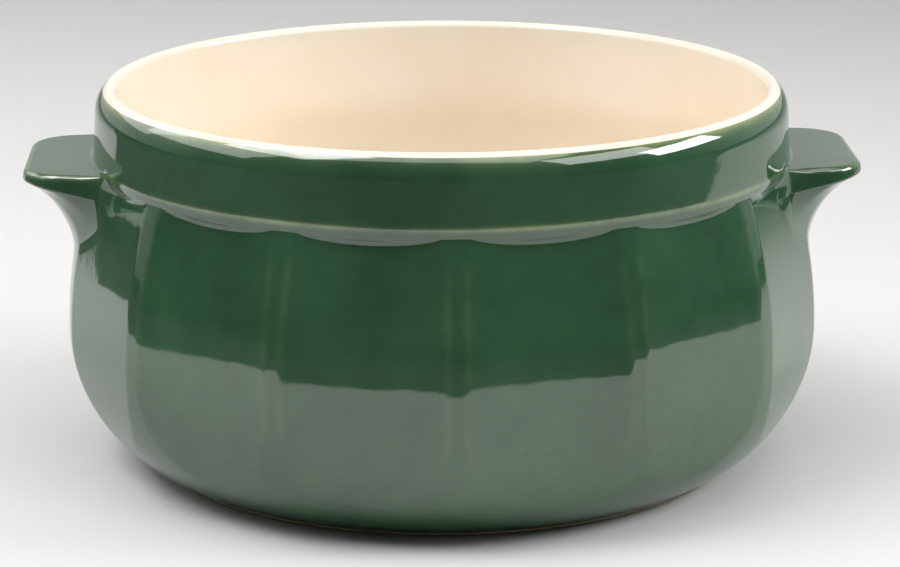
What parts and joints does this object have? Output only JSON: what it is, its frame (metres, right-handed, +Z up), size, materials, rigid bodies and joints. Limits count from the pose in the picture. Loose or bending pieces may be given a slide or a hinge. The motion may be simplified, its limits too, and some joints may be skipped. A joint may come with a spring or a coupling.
{
  "type": "round baking dish",
  "caption": "Round stoneware baking dish with a panelled bowl, plain collar, cream glazed inside, green glazed outside and a lug handle at each side",
  "frame": {"origin": "middle of the foot, on the surface that the dish stands on", "axes": "+Z is up along the dish's axis, +X runs through the handles to the right one, -Y faces the viewer of the picture"},
  "size_m": [0.2914, 0.2644, 0.1335],
  "materials": {
    "bare_stoneware": "unglazed fired clay, tan and matt",
    "green_glaze": "glossy bottle green glaze, thinner and lighter on ridges and edges",
    "cream_glaze": "glossy warm cream glaze"
  },
  "bodies": {
    "root": {"stoneware_body": "bare_stoneware", "outer_glaze": "green_glaze", "inner_glaze": "cream_glaze", "left_handle": "green_glaze", "right_handle": "green_glaze"}
  },
  "joints": []
}
